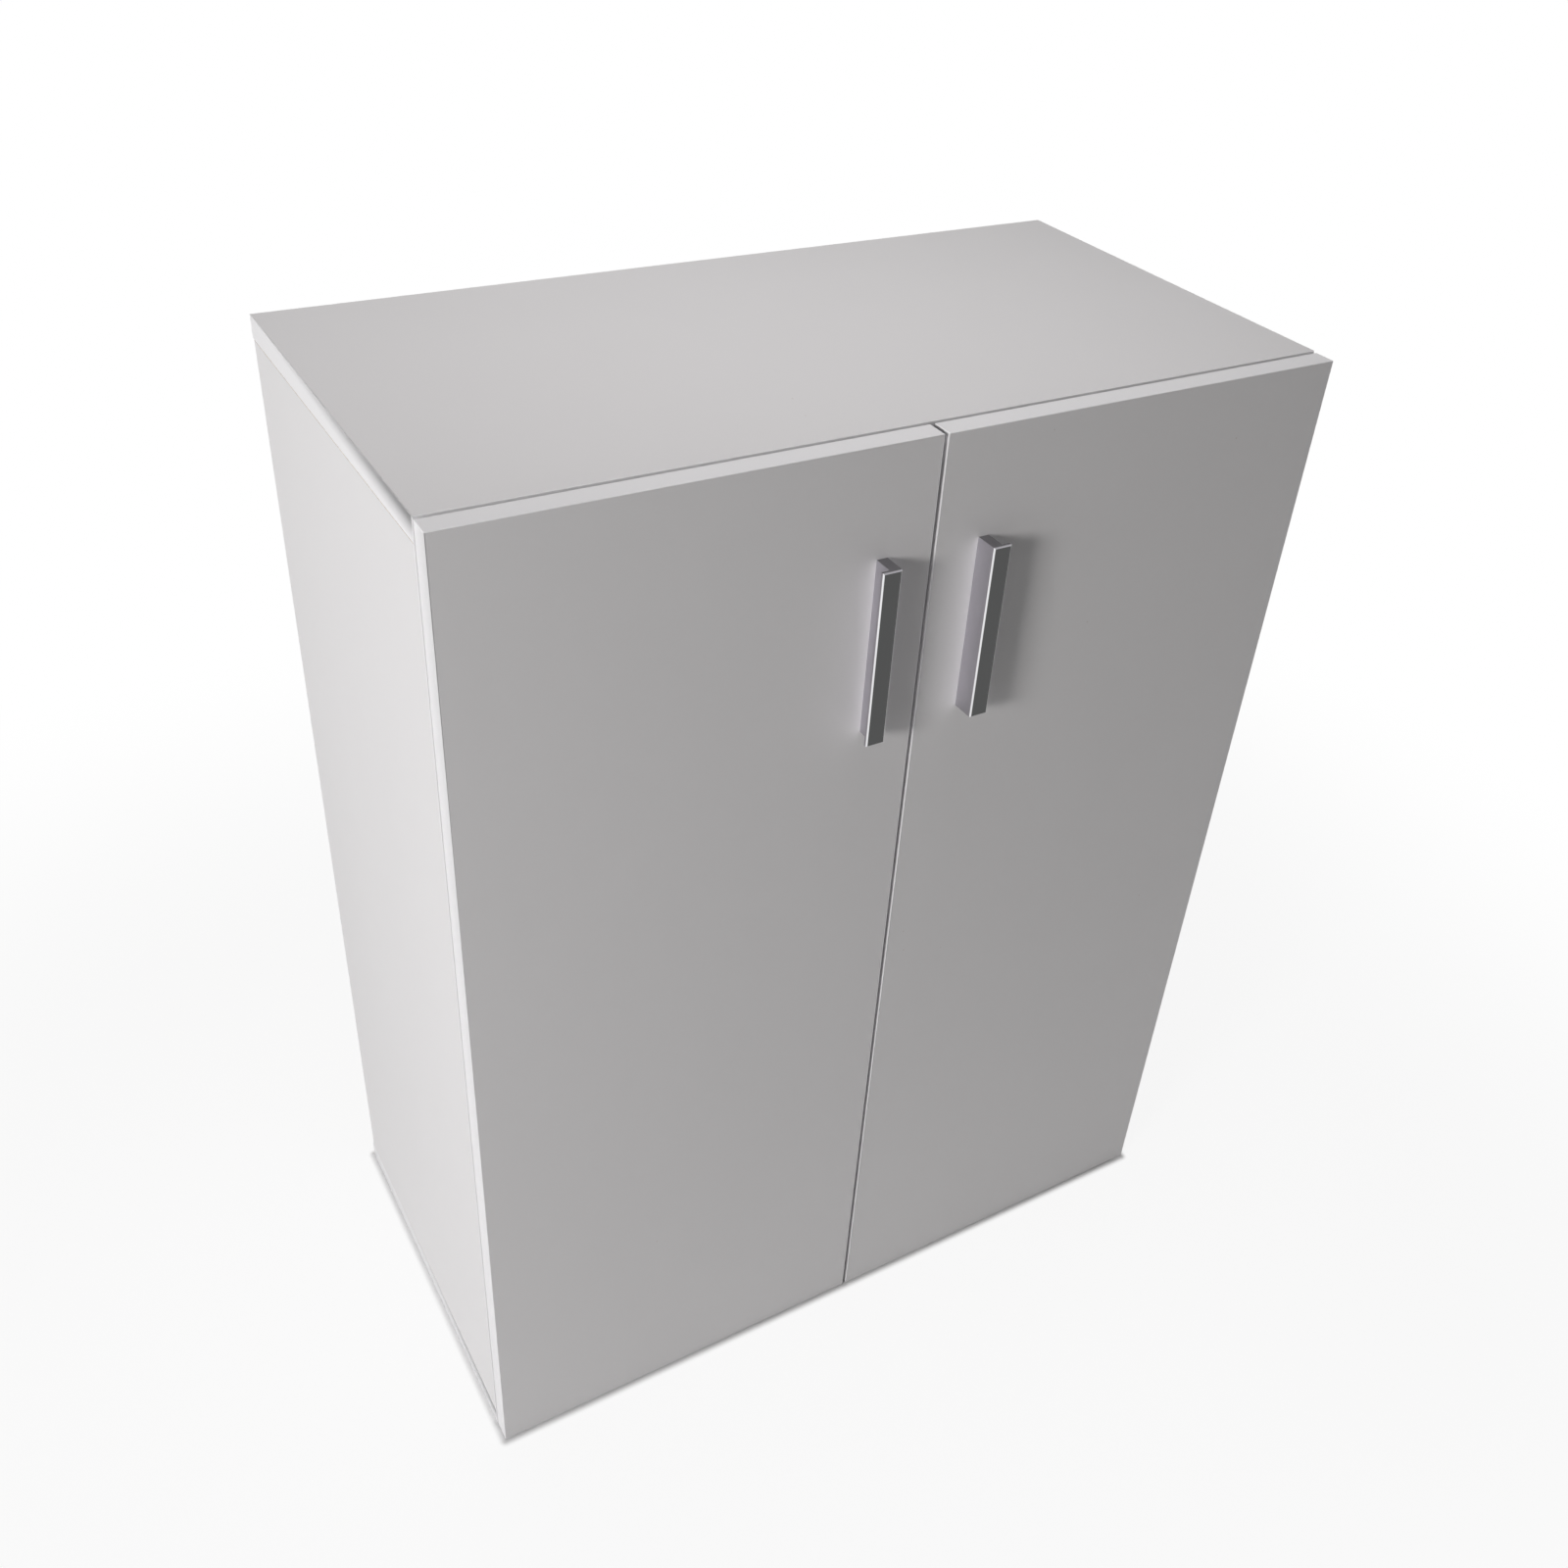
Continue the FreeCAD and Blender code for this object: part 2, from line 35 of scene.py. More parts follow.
import bpy
from bpy.props import FloatProperty, FloatVectorProperty, PointerProperty
from mathutils import Euler, Vector

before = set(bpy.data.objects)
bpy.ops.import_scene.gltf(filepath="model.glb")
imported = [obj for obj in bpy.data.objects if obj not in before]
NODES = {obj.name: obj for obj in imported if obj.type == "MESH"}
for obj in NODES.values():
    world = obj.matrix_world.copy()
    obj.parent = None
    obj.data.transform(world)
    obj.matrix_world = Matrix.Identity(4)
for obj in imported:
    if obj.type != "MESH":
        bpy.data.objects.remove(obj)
CAD_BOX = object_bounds()
DOOR_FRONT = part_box("left_door_panel")[0].y
SIDES = ("left", "right")
HEIGHTS = ("lower", "upper")
AXES = {"x": 0, "y": 1, "z": 2}
TOUCHING = 0.000005          # two points closer than this are one
FACED = 0.35                 # how squarely a face lies to an axis to carry the paper
SHARP_TURN = math.radians(35.0)

FLOOR_REACH = 9.0
CONTACT_SHADOW = 0.006       # how far the floor's darkest shadow reaches from the cabinet
FLOOR_FADE = (0.25, 0.9)     # distances over which the floor turns to plain white
FLOOR_NEAR = 0.9             # how white the floor is before that

# Lights: where each one hangs, the point that it faces, and its width and height
KEY_LIGHT = ((-2.55, -1.21, 1.30), (0.0, -0.15, 0.45), (0.65, 0.6))
SIDE_LIGHT = ((-1.4, -0.55, 0.48), (-0.3, -0.1, 0.34), (0.9, 0.8))
TOP_LIGHT = ((-0.2, 0.1, 2.2), (0.0, 0.0, 0.76), (0.9, 0.9))
REAR_LIGHT = ((2.0, 1.7, 0.4), (0.1, 0.1, 0.4), (1.4, 0.6))
OPEN_SPREAD = 180.0
TOP_SPREAD = 60.0

CAMERA_PLACE = (-0.4992, -0.8031, 1.1068)
CAMERA_TURN = (53.99, -3.52, -30.32)
CAMERA_SENSOR = 36.0
CAMERA_LENS = 35.97
CAMERA_SHIFT = (-0.0139, 0.0012)

FLAT_BOARDS = ("top_panel", "bottom_panel", "shelf")
UPRIGHT_BOARDS = ("left_side_panel", "right_side_panel")
DOORS = ("left_door_panel", "right_door_panel")
BANDED_AXES = {
    "top_edge_bands": "xy",
    "bottom_edge_bands": "xy",
    "left_side_edge_band": "y",
    "right_side_edge_band": "y",
    "shelf_edge_band": "y",
    "left_door_edge_bands": "xz",
    "right_door_edge_bands": "xz",
}
HANDLES = ("left_handle", "right_handle")


# Sizes and colours

def colour_setting(name, description, default):
    return FloatVectorProperty(
        name=name, description=description, default=default,
        subtype="COLOR", size=3, min=0.0, max=1.0,
    )


def length_setting(name, description, default):
    return FloatProperty(
        name=name, description=description, default=default,
        unit="LENGTH", min=0.0, precision=5,
    )


def share_setting(name, description, default):
    return FloatProperty(
        name=name, description=description, default=default,
        subtype="FACTOR", min=0.0, max=1.0,
    )


def power_setting(name, description, default):
    return FloatProperty(
        name=name, description=description, default=default,
        unit="POWER", min=0.0,
    )


class BoardSettings(bpy.types.PropertyGroup):
    """The faced chipboard, its edging and the thin back"""

    face: colour_setting("Board face", "Colour of the white melamine paper", (0.805, 0.795, 0.797))
    band: colour_setting("Edge band", "Colour of the plastic edging", (0.905, 0.90, 0.91))
    lacquer: colour_setting("Back panel face", "Colour of the painted side of the back", (0.78, 0.775, 0.76))
    chip_light: colour_setting("Light chips", "Palest chips in the board's core", (0.72, 0.58, 0.40))
    chip_dark: colour_setting("Dark chips", "Darkest chips in the board's core", (0.36, 0.25, 0.145))
    fibre: colour_setting("Hardboard", "Colour of the bare hardboard", (0.46, 0.315, 0.19))
    gloss_roughness: share_setting("Face roughness", "How matt the melamine paper is", 0.42)
    band_arris: length_setting("Band arris", "Width of the scraped edge of the plastic edging", 0.0005)
    pebble: length_setting("Pebble height", "Height of the paper's fine pebble texture", 0.00002)


class MetalSettings(bpy.types.PropertyGroup):
    """The handles, hinges and screws"""

    handle: colour_setting("Handle sides", "Colour of the handles' satin sides", (0.56, 0.545, 0.585))
    # Painted shade: the handles' front is coloured far darker than their sides, and their ends partly so.
    handle_front_painted_shade: colour_setting("Handle front", "Colour of the handles' dark front", (0.085, 0.086, 0.086))
    # Painted highlight: the chamfers up the handles' front are coloured paler than their sides.
    handle_edge_painted_highlight: colour_setting("Handle edges", "Colour of the chamfers up the front", (0.76, 0.76, 0.77))
    nickel: colour_setting("Nickel", "Colour of the plated steel", (0.62, 0.60, 0.57))
    zinc: colour_setting("Zinc", "Colour of the cast fittings", (0.46, 0.46, 0.47))
    handle_roughness: share_setting("Handle roughness", "How matt the handles are", 0.30)
    arris: length_setting("Metal arris", "Width of the edge between two faces of a fitting", 0.00016)
    handle_arris: length_setting("Handle arris", "Width of the edge along a handle", 0.00034)


class SmallPartSettings(bpy.types.PropertyGroup):
    """The dowels and door bumpers"""

    beech: colour_setting("Beech", "Colour of the dowels", (0.58, 0.41, 0.25))
    pore: colour_setting("Beech flecks", "Colour of the short flecks in the beech", (0.38, 0.23, 0.12))
    bumper: colour_setting("Bumper", "Colour of the clear door bumpers", (0.90, 0.91, 0.91))


class StageSettings(bpy.types.PropertyGroup):
    """The lights around the cabinet"""

    key_colour: colour_setting("Key light colour", "Colour of the left front light", (1.0, 0.985, 0.975))
    side_colour: colour_setting("Side light colour", "Colour of the left side light", (0.93, 0.94, 1.0))
    top_colour: colour_setting("Top light colour", "Colour of the light above", (1.0, 0.98, 0.985))
    rear_colour: colour_setting("Rear light colour", "Colour of the right rear light", (1.0, 0.99, 0.98))
    key: power_setting("Key light", "Power of the light at the left front", 42.5)
    side: power_setting("Side light", "Power of the light close to the left side", 2.0)
    top: power_setting("Top light", "Power of the light above", 1.95)
    rear: power_setting("Rear light", "Power of the light behind the right side", 20.0)
    surround: share_setting("Surroundings", "Light that comes evenly from all round", 0.03)


# Nodes of a material

class Link:
    """A socket of a node; arithmetic on it adds Math nodes beside it."""

    def __init__(self, finish, socket):
        self.finish = finish
        self.socket = socket

    def math(self, operation, *terms):
        return self.finish.node("ShaderNodeMath", {"operation": operation}, dict(enumerate(terms)))

    def __add__(self, other):
        return self.math("ADD", self, other)

    def __radd__(self, other):
        return self.math("ADD", other, self)

    def __sub__(self, other):
        return self.math("SUBTRACT", self, other)

    def __rsub__(self, other):
        return self.math("SUBTRACT", other, self)

    def __mul__(self, other):
        return self.math("MULTIPLY", self, other)

    def __rmul__(self, other):
        return self.math("MULTIPLY", other, self)

    def __pow__(self, other):
        return self.math("POWER", self, other)

    def __gt__(self, other):
        return self.math("GREATER_THAN", self, other)

    def __lt__(self, other):
        return self.math("LESS_THAN", self, other)

    def __abs__(self):
        return self.math("ABSOLUTE", self)

    def at_least(self, other):
        return self.math("MAXIMUM", self, other)


class NodeTree:
    """Nodes of a material or of the world, added one at a time."""

    def __init__(self, tree):
        self.tree = tree

    def feed(self, socket, value):
        if isinstance(value, Link):
            self.tree.links.new(value.socket, socket)
        else:
            socket.default_value = value

    def node(self, kind, settings=None, sockets=None, output=0):
        """Adds a node, sets its settings and then its sockets, and gives one of its outputs."""
        node = self.tree.nodes.new(kind)
        for setting, value in (settings or {}).items():
            setattr(node, setting, value)
        for socket, value in (sockets or {}).items():
            self.feed(node.inputs[socket], value)
        return Link(self, node.outputs[output])

    def position(self):
        """Place on the part, in metres; it stays with the part when a door opens."""
        return self.node("ShaderNodeTexCoord", output="Object")

    def facing(self, axis):
        """How far the surface faces along an axis, from -1 to 1."""
        normal = self.node("ShaderNodeTexCoord", output="Normal")
        return self.node("ShaderNodeSeparateXYZ", sockets={0: normal}, output=AXES[axis])

    def along(self, axis):
        return self.node("ShaderNodeSeparateXYZ", sockets={0: self.position()}, output=AXES[axis])

    def stretched(self, scale):
        """Place on the part with each axis scaled, for grain that runs one way."""
        return self.node("ShaderNodeVectorMath", {"operation": "MULTIPLY"}, {0: self.position(), 1: scale})

    def noise(self, scale, detail=2.0, rough=0.5, place=None):
        sockets = {"Scale": scale, "Detail": detail, "Roughness": rough}
        sockets["Vector"] = place or self.position()
        return self.node("ShaderNodeTexNoise", sockets=sockets)

    def cells(self, scale, output="Distance"):
        sockets = {"Vector": self.position(), "Scale": scale}
        return self.node("ShaderNodeTexVoronoi", sockets=sockets, output=output)

    def blend(self, share, first, second):
        """A colour between two others."""
        sockets = {0: share, 6: opaque(first), 7: opaque(second)}
        return self.node("ShaderNodeMix", {"data_type": "RGBA"}, sockets, output=2)

    def shaded(self, colour, strength):
        """A colour made lighter or darker by a varying strength."""
        sockets = {0: colour, "Scale": strength}
        return self.node("ShaderNodeVectorMath", {"operation": "SCALE"}, sockets)

    def ramp(self, value, low, high, first=0.0, last=1.0):
        """A smooth step of a value from low to high."""
        sockets = {"Value": value, "From Min": low, "From Max": high, "To Min": first, "To Max": last}
        return self.node("ShaderNodeMapRange", {"interpolation_type": "SMOOTHSTEP"}, sockets)

    def bump(self, height, distance, strength=1.0):
        sockets = {"Height": height, "Distance": distance, "Strength": strength}
        return self.node("ShaderNodeBump", sockets=sockets, output="Normal")


class Finish(NodeTree):
    """A surface finish for parts of the cabinet."""

    def __init__(self, name, **constants):
        self.material = bpy.data.materials.new(name)
        self.material.use_nodes = True
        super().__init__(self.material.node_tree)
        self.surface = self.tree.nodes["Principled BSDF"]
        self.set(**constants)

    def set(self, **sockets):
        for socket, value in sockets.items():
            label = "IOR" if socket == "ior" else socket.replace("_", " ").title()
            self.feed(self.surface.inputs[label], value)

    def give(self, names):
        for name in names:
            for slot in NODES[name].material_slots:
                slot.material = self.material


def opaque(colour):
    """A colour as a socket takes it."""
    return colour if isinstance(colour, Link) else (*colour, 1.0)


# Finishes of the board

def chipboard(finish, settings):
    """Pressed chips with glue between them, for bare edges and the walls of holes."""
    chips = finish.cells(420.0, output="Color")
    tone = finish.node("ShaderNodeSeparateColor", sockets={0: chips})
    colour = finish.blend(tone, settings.chip_dark, settings.chip_light)
    strands = finish.noise(900.0, 3.0, 0.7)
    return finish.shaded(colour, 0.75 + strands * 0.5)


def melamine(name, faces, settings):
    """White melamine paper over chipboard, on the faces that the named axes cross."""
    finish = Finish(name, ior=1.43)
    paper = abs(finish.facing(faces[0])) > FACED
    for axis in faces[1:]:
        paper = paper.at_least(abs(finish.facing(axis)) > FACED)
    drift = finish.noise(2.6, 2.0)
    cloud = finish.noise(24.0, 3.0)
    pebble = finish.noise(620.0, 3.0, 0.6)
    strength = 0.978 + drift * 0.022 + cloud * 0.01 + pebble * 0.012
    white = finish.shaded(settings.face, strength)
    specks = finish.cells(55.0) < 0.035
    rare = finish.noise(9.0, 1.0) > 0.62
    white = finish.blend(specks * rare * 0.22, white, settings.chip_dark)
    finish.set(base_color=finish.blend(paper, chipboard(finish, settings), white))
    smears = finish.noise(11.0, 4.0, 0.65, finish.stretched((1.0, 1.0, 0.45)))
    matt = settings.gloss_roughness - 0.05 + smears * 0.1
    finish.set(roughness=0.9 + paper * (matt - 0.9))
    coarse = finish.noise(1400.0, 2.0)
    relief = paper * pebble + (1.0 - paper) * coarse * 6.0
    finish.set(normal=finish.bump(relief, settings.pebble, 0.6))
    return finish


def edging(settings):
    """Plastic edging, with the faint lines of its scraping along it."""
    finish = Finish("edge_band_finish", ior=1.48)
    lines = finish.noise(1.0, 3.0, 0.6, finish.stretched((1500.0, 1500.0, 30.0)))
    cloud = finish.noise(18.0, 2.0)
    finish.set(base_color=finish.shaded(settings.band, 0.975 + cloud * 0.02 + lines * 0.012))
    finish.set(roughness=0.3 + lines * 0.12)
    finish.set(normal=finish.bump(lines, settings.pebble, 0.4))
    return finish


def hardboard(settings):
    """Hardboard, painted white on the side that faces into the cabinet and pale at its cut edges."""
    finish = Finish("hardboard_finish", ior=1.5)
    behind = finish.facing("y") > 0.6
    fibres = finish.noise(1.0, 6.0, 0.72, finish.stretched((260.0, 260.0, 420.0)))
    threads = finish.noise(900.0, 4.0, 0.7)
    shades = 0.72 + fibres * 0.4 + threads * 0.16
    bare = finish.shaded(settings.fibre, shades)
    flecks = finish.cells(210.0) < 0.16
    bare = finish.blend(flecks * 0.3, bare, settings.chip_light)
    paint = finish.shaded(settings.lacquer, 0.97 + fibres * 0.03)
    finish.set(base_color=finish.blend(behind, paint, bare))
    finish.set(roughness=0.45 + behind * 0.4)
    weave = finish.noise(520.0)
    finish.set(normal=finish.bump(weave * (0.3 + behind * 2.0), settings.pebble * 2.0, 0.7))
    return finish


# Finishes of the metal

def satin_handle(settings):
    """Satin metal with fine lines along the handle; its front and ends carry painted shade and its front
    chamfers a painted highlight.
    """
    finish = Finish("handle_finish", metallic=1.0)
    lines = finish.noise(1.0, 4.0, 0.6, finish.stretched((5200.0, 5200.0, 60.0)))
    bloom = finish.noise(38.0, 3.0)
    across = abs(finish.facing("x"))
    forward = 0.0 - finish.facing("y")
    # Painted shade on the front faces, and by a share on the ends, chosen by which way each face points
    front = finish.ramp(forward, 0.85, 0.97)
    ends = finish.ramp(abs(finish.facing("z")), 0.5, 0.8)
    # Painted highlight on the chamfers up the front
    chamfer = finish.ramp(across * forward, 0.2, 0.4)
    metal = finish.blend(front + ends * 0.6, settings.handle, settings.handle_front_painted_shade)
    metal = finish.blend(chamfer, metal, settings.handle_edge_painted_highlight)
    finish.set(base_color=finish.shaded(metal, 0.9 + lines * 0.12 + bloom * 0.08))
    finish.set(roughness=settings.handle_roughness - 0.08 + lines * 0.08 + bloom * 0.1)
    finish.set(normal=finish.bump(lines, 0.00001, 0.5))
    return finish


def nickel_plate(settings):
    """Nickel on pressed steel, a little duller where it has been handled."""
    finish = Finish("nickel_finish", metallic=1.0)
    cloud = finish.noise(120.0, 3.0)
    rolling = finish.noise(1.0, 3.0, 0.6, finish.stretched((300.0, 4200.0, 4200.0)))
    finish.set(base_color=finish.shaded(settings.nickel, 0.9 + cloud * 0.12))
    finish.set(roughness=0.2 + cloud * 0.12 + rolling * 0.06)
    finish.set(normal=finish.bump(rolling, 0.000006, 0.5))
    return finish


def cast_zinc(settings):
    """Die-cast zinc with the fine grain of its mould."""
    finish = Finish("zinc_finish", metallic=1.0)
    grain = finish.noise(2600.0, 3.0, 0.65)
    cloud = finish.noise(160.0, 3.0)
    finish.set(base_color=finish.shaded(settings.zinc, 0.84 + cloud * 0.2 + grain * 0.06))
    finish.set(roughness=0.4 + grain * 0.18)
    finish.set(normal=finish.bump(grain, 0.00002, 0.6))
    return finish


# Finishes of the small parts

def beech(settings):
    """Steamed beech with its short dark flecks along the dowel."""
    finish = Finish("beech_finish", ior=1.5)
    grain = finish.noise(1.0, 4.0, 0.6, finish.stretched((90.0, 1100.0, 1100.0)))
    fleck = finish.noise(1.0, 2.0, 0.5, finish.stretched((420.0, 3000.0, 3000.0)))
    wood = finish.shaded(settings.beech, 0.82 + grain * 0.34)
    finish.set(base_color=finish.blend(finish.ramp(fleck, 0.62, 0.7) * 0.8, wood, settings.pore))
    finish.set(roughness=0.58 + grain * 0.15)
    finish.set(normal=finish.bump(fleck, 0.00003, 0.5))
    return finish


def clear_plastic(settings):
    """Soft clear plastic with a faintly dimpled skin."""
    finish = Finish("bumper_finish", ior=1.49, transmission_weight=0.85)
    dimples = finish.noise(700.0, 2.0)
    finish.set(base_color=finish.shaded(settings.bumper, 0.96 + dimples * 0.04))
    finish.set(roughness=0.14 + dimples * 0.1)
    finish.set(normal=finish.bump(dimples, 0.00004, 0.5))
    return finish


# Edges

def mark_outer_edges(mesh, axes):
    """Marks a band's edges that face out: at the front along y, and at both ends along x and z."""
    places = [vertex.co for vertex in mesh.vertices]
    planes = []
    for axis in (AXES[letter] for letter in axes):
        levels = [place[axis] for place in places]
        planes.append((axis, min(levels)))
        if axis != AXES["y"]:
            planes.append((axis, max(levels)))
    marks = mesh.attributes.new("bevel_weight_edge", "FLOAT", "EDGE")
    for edge, mark in zip(mesh.edges, marks.data):
        ends = [places[number] for number in edge.vertices]
        straight = sum(abs(length) > TOUCHING for length in ends[1] - ends[0]) == 1
        outside = any(all(abs(end[axis] - level) < TOUCHING for end in ends) for axis, level in planes)
        mark.value = 1.0 if straight and outside else 0.0


def ease_edges(names, width, segments=2, limit="ANGLE"):
    """Rounds the sharp edges of parts by a hair, so that they catch the light."""
    for name in names:
        part = NODES[name]
        weld = part.modifiers.new("join_faces", "WELD")
        weld.merge_threshold = TOUCHING
        bevel = part.modifiers.new("eased_edges", "BEVEL")
        bevel.offset_type = "WIDTH"
        bevel.width = width
        bevel.segments = segments
        bevel.limit_method = limit
        bevel.angle_limit = SHARP_TURN
        bevel.use_clamp_overlap = False
        part.modifiers.new("even_shading", "WEIGHTED_NORMAL")


def named(pattern):
    """Names of the parts of every hinge."""
    return [pattern.format(side=side, height=height) for side in SIDES for height in HEIGHTS]


def sided(pattern):
    return [pattern.format(side=side) for side in SIDES]


# Operators

class CABINET_OT_boards(bpy.types.Operator):
    """Face the top, bottom, sides, shelf, rail and doors with white melamine"""

    bl_idname = "cabinet.boards"
    bl_label = "Boards"

    def execute(self, context):
        settings = context.scene.cabinet_boards
        melamine("flat_board_finish", "z", settings).give(FLAT_BOARDS)
        melamine("upright_board_finish", "x", settings).give(UPRIGHT_BOARDS)
        melamine("door_finish", "y", settings).give(DOORS)
        melamine("rail_finish", "yz", settings).give(["hanging_rail"])
        return {"FINISHED"}


class CABINET_OT_edge_bands(bpy.types.Operator):
    """Give the edge bands their plastic"""

    bl_idname = "cabinet.edge_bands"
    bl_label = "Edge Bands"

    def execute(self, context):
        settings = context.scene.cabinet_boards
        edging(settings).give(BANDED_AXES)
        for name, axes in BANDED_AXES.items():
            mark_outer_edges(NODES[name].data, axes)
        ease_edges(BANDED_AXES, settings.band_arris, limit="WEIGHT")
        return {"FINISHED"}


class CABINET_OT_back(bpy.types.Operator):
    """Paint the inside of the hardboard back and leave its outside bare"""

    bl_idname = "cabinet.back"
    bl_label = "Back Panel"

    def execute(self, context):
        hardboard(context.scene.cabinet_boards).give(["back_panel"])
        return {"FINISHED"}


class CABINET_OT_handles(bpy.types.Operator):
    """Give the two handles their satin finish"""

    bl_idname = "cabinet.handles"
    bl_label = "Handles"

    def execute(self, context):
        settings = context.scene.cabinet_metal
        satin_handle(settings).give(HANDLES)
        ease_edges(HANDLES, settings.handle_arris, 3)
        return {"FINISHED"}


class CABINET_OT_hinges(bpy.types.Operator):
    """Plate the hinges and leave their mounting plates as cast"""

    bl_idname = "cabinet.hinges"
    bl_label = "Hinges"

    def execute(self, context):
        settings = context.scene.cabinet_metal
        plates = named("{side}_{height}_hinge_plate")
        arms = named("{side}_{height}_hinge_arm")
        links = named("{side}_{height}_hinge_link")
        cups = named("{side}_{height}_hinge_cup")
        pins = sided("{side}_hinge_arm_pins") + sided("{side}_hinge_cup_pins")
        cast_zinc(settings).give(plates + links)
        nickel_plate(settings).give(arms + cups + pins)
        ease_edges(plates + arms + links + cups, settings.arris)
        return {"FINISHED"}


class CABINET_OT_fixings(bpy.types.Operator):
    """Finish the cam fittings, dowels, nails, pins and screws"""

    bl_idname = "cabinet.fixings"
    bl_label = "Fixings"

    def execute(self, context):
        settings = context.scene.cabinet_metal
        screws = sided("{side}_hinge_plate_screws") + sided("{side}_hinge_arm_screws")
        screws += sided("{side}_hinge_cup_screws") + sided("{side}_handle_screws")
        steel = screws + ["cam_bolts", "back_panel_nails", "shelf_pins"]
        nickel_plate(settings).give(steel)
        cast_zinc(settings).give(["cam_locks"])
        beech(context.scene.cabinet_small_parts).give(["wooden_dowels"])
        return {"FINISHED"}


class CABINET_OT_bumpers(bpy.types.Operator):
    """Make the door bumpers of soft clear plastic"""

    bl_idname = "cabinet.bumpers"
    bl_label = "Door Bumpers"

    def execute(self, context):
        clear_plastic(context.scene.cabinet_small_parts).give(sided("{side}_door_bumpers"))
        return {"FINISHED"}


def seen_directly(tree):
    """1 for what the camera sees, straight or in metal or glass."""
    rays = [tree.node("ShaderNodeLightPath", output=name + " Ray")
            for name in ("Is Camera", "Is Glossy", "Is Transmission")]
    return rays[0].at_least(rays[1]).at_least(rays[2])


def white_surround(strength):
    """White all round for what is seen directly, and a dim even light on everything."""
    world = bpy.data.worlds.new("surroundings")
    world.use_nodes = True
    bpy.context.scene.world = world
    tree = NodeTree(world.node_tree)
    background = world.node_tree.nodes["Background"]
    tree.feed(background.inputs["Color"], (1.0, 1.0, 1.0, 1.0))
    seen = seen_directly(tree)
    tree.feed(background.inputs["Strength"], strength + seen * (1.0 - strength))


def floor_finish():
    """A white floor that darkens just round the cabinet, where it keeps its shadow."""
    finish = Finish("floor_finish", base_color=(0.8, 0.8, 0.8, 1.0), roughness=0.9)
    low = Vector((CAD_BOX[0][0], DOOR_FRONT, 0.0))
    high = Vector(CAD_BOX[1])
    middle = (low + high) / 2.0
    half = (high - low) / 2.0
    across = (abs(finish.along("x") - middle.x) - half.x).at_least(0.0)
    deep = (abs(finish.along("y") - middle.y) - half.y).at_least(0.0)
    away = (across * across + deep * deep) ** 0.5
    share = finish.ramp(away, 0.0, CONTACT_SHADOW) * finish.ramp(away, *FLOOR_FADE, FLOOR_NEAR, 1.0)
    glow = finish.node("ShaderNodeEmission", sockets={"Color": (1.0, 1.0, 1.0, 1.0), "Strength": 1.0})
    output = finish.tree.nodes["Material Output"]
    surface = Link(finish, finish.surface.outputs[0])
    sockets = {0: share * seen_directly(finish), 1: surface, 2: glow}
    mixed = finish.node("ShaderNodeMixShader", sockets=sockets)
    finish.feed(output.inputs["Surface"], mixed)
    return finish.material


def lay_floor():
    mesh = bpy.data.meshes.new("floor")
    corners = [(x * FLOOR_REACH, y * FLOOR_REACH, 0.0) for x, y in ((-1, -1), (1, -1), (1, 1), (-1, 1))]
    mesh.from_pydata(corners, [], [(0, 1, 2, 3)])
    mesh.materials.append(floor_finish())
    floor = bpy.data.objects.new("floor", mesh)
    bpy.context.scene.collection.objects.link(floor)


def hang_light(name, place, target, size, power, colour, spread=OPEN_SPREAD):
    """A soft rectangular light that faces a point."""
    light = bpy.data.lights.new(name, "AREA")
    light.shape = "RECTANGLE"
    light.size, light.size_y = size
    light.energy = power
    light.spread = math.radians(spread)
    light.color = colour
    lamp = bpy.data.objects.new(name, light)
    lamp.location = place
    aim = Vector(target) - Vector(place)
    lamp.rotation_euler = aim.to_track_quat("-Z", "Y").to_euler()
    bpy.context.scene.collection.objects.link(lamp)


def set_camera():
    camera = bpy.data.cameras.new("camera")
    camera.sensor_width = CAMERA_SENSOR
    camera.lens = CAMERA_LENS
    camera.shift_x, camera.shift_y = CAMERA_SHIFT
    viewer = bpy.data.objects.new("camera", camera)
    viewer.location = CAMERA_PLACE
    viewer.rotation_euler = Euler([math.radians(turn) for turn in CAMERA_TURN])
    bpy.context.scene.collection.objects.link(viewer)
    bpy.context.scene.camera = viewer


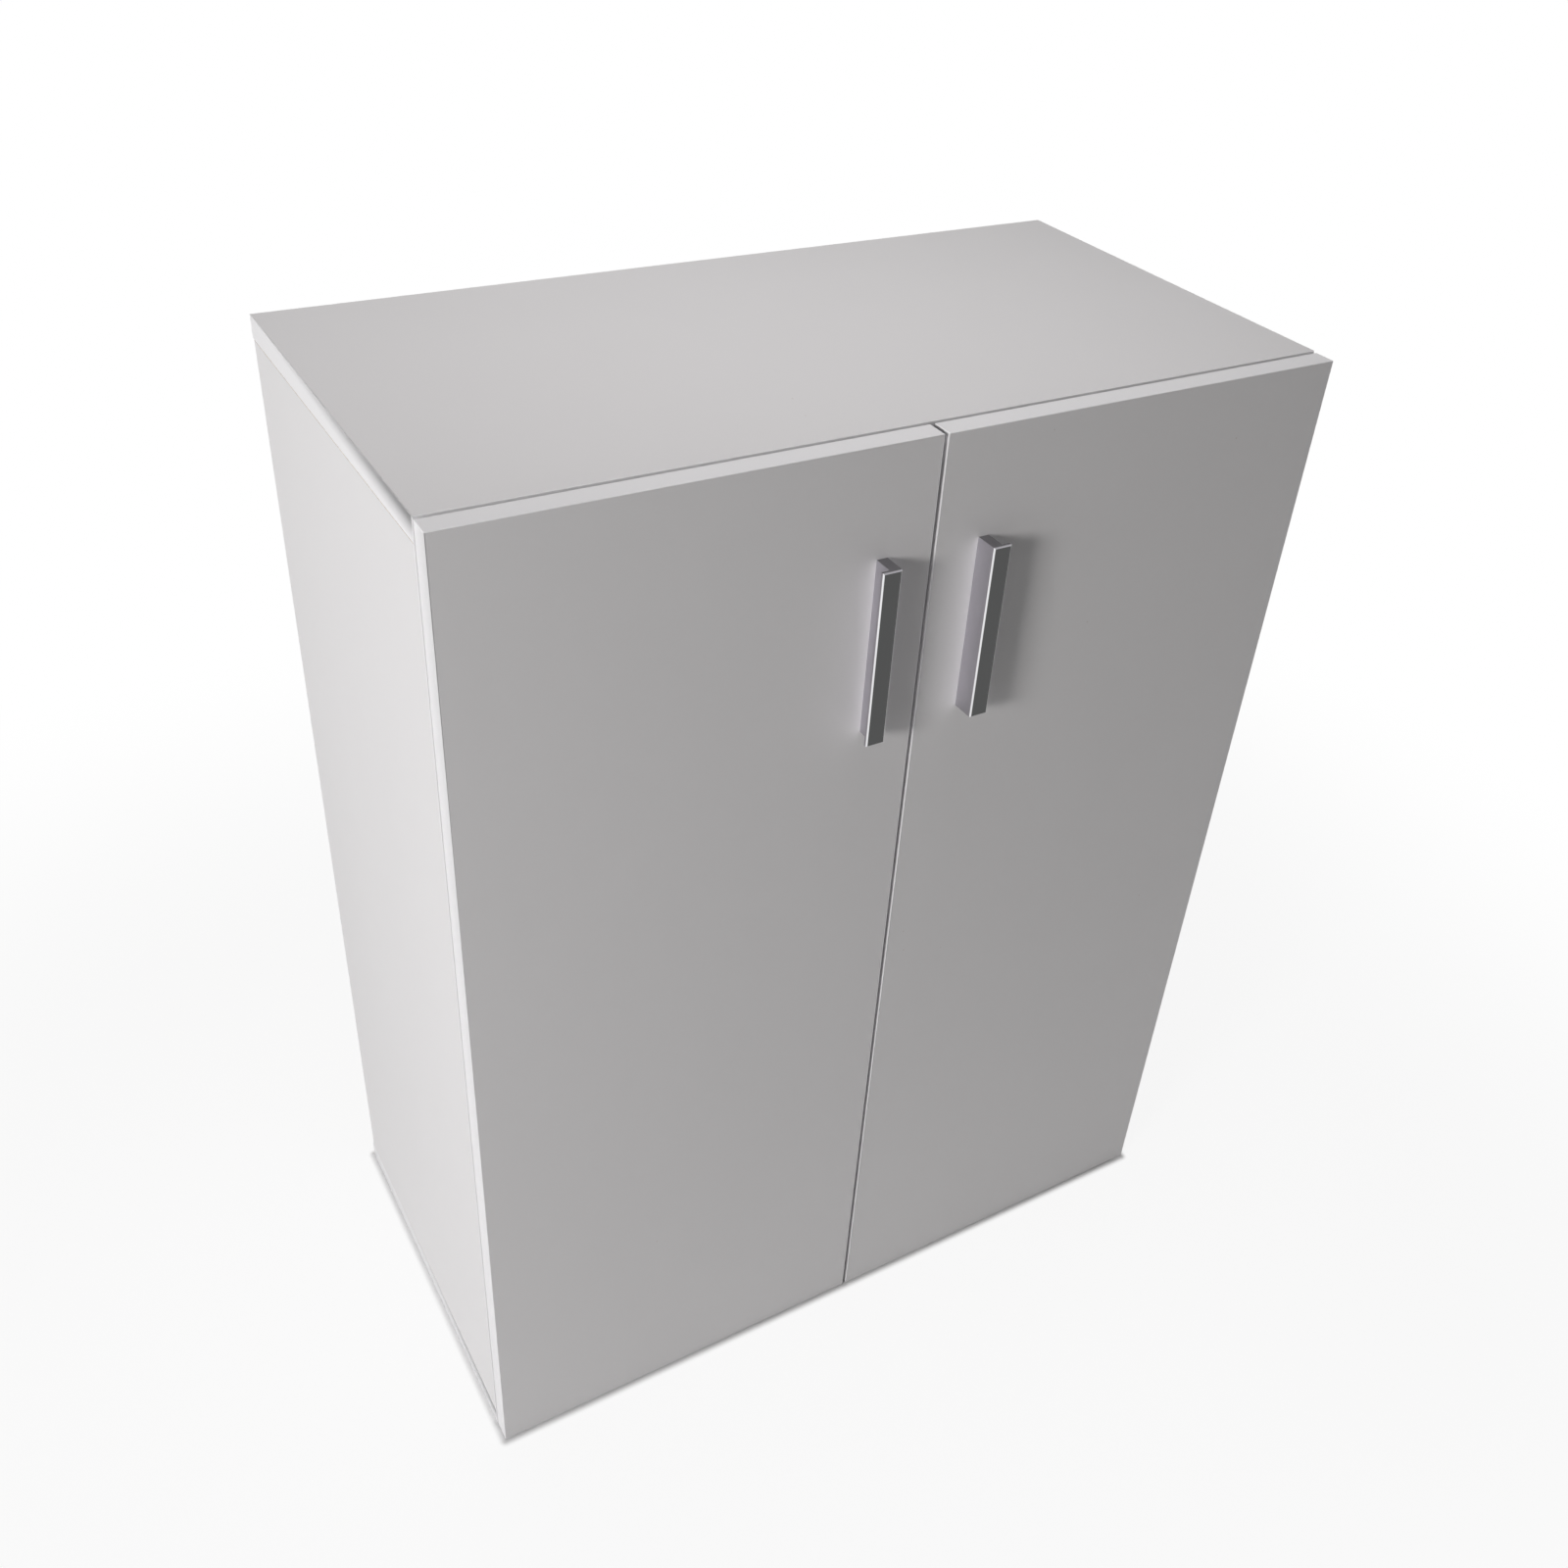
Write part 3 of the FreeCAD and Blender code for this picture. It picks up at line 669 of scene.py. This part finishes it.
class CABINET_OT_stage(bpy.types.Operator):
    """Set the white floor, the lights and the camera round the cabinet"""

    bl_idname = "cabinet.stage"
    bl_label = "Stage"

    def execute(self, context):
        settings = context.scene.cabinet_stage
        context.scene.view_settings.view_transform = "Standard"
        white_surround(settings.surround)
        lay_floor()
        hang_light("key_light", *KEY_LIGHT, settings.key, settings.key_colour)
        hang_light("side_light", *SIDE_LIGHT, settings.side, settings.side_colour)
        hang_light("top_light", *TOP_LIGHT, settings.top, settings.top_colour, TOP_SPREAD)
        hang_light("rear_light", *REAR_LIGHT, settings.rear, settings.rear_colour)
        set_camera()
        return {"FINISHED"}


class CABINET_PT_finishes(bpy.types.Panel):
    bl_label = "Cabinet"
    bl_idname = "CABINET_PT_finishes"
    bl_space_type = "VIEW_3D"
    bl_region_type = "UI"
    bl_category = "Cabinet"

    def draw(self, context):
        scene = context.scene
        for settings in (scene.cabinet_boards, scene.cabinet_metal,
                         scene.cabinet_small_parts, scene.cabinet_stage):
            column = self.layout.column(align=True)
            for name in settings.__annotations__:
                column.prop(settings, name)
        column = self.layout.column()
        for operator in OPERATORS:
            column.operator(operator.bl_idname)


SETTINGS = {
    "cabinet_boards": BoardSettings,
    "cabinet_metal": MetalSettings,
    "cabinet_small_parts": SmallPartSettings,
    "cabinet_stage": StageSettings,
}
OPERATORS = (
    CABINET_OT_boards,
    CABINET_OT_edge_bands,
    CABINET_OT_back,
    CABINET_OT_handles,
    CABINET_OT_hinges,
    CABINET_OT_fixings,
    CABINET_OT_bumpers,
    CABINET_OT_stage,
)


def register():
    for name, group in SETTINGS.items():
        bpy.utils.register_class(group)
        setattr(bpy.types.Scene, name, PointerProperty(type=group))
    for operator in OPERATORS:
        bpy.utils.register_class(operator)
    bpy.utils.register_class(CABINET_PT_finishes)


def unregister():
    bpy.utils.unregister_class(CABINET_PT_finishes)
    for operator in reversed(OPERATORS):
        bpy.utils.unregister_class(operator)
    for name, group in SETTINGS.items():
        delattr(bpy.types.Scene, name)
        bpy.utils.unregister_class(group)


def main():
    register()
    for operator in OPERATORS:
        group, name = operator.bl_idname.split(".")
        getattr(getattr(bpy.ops, group), name)()


if __name__ == "__main__":
    main()
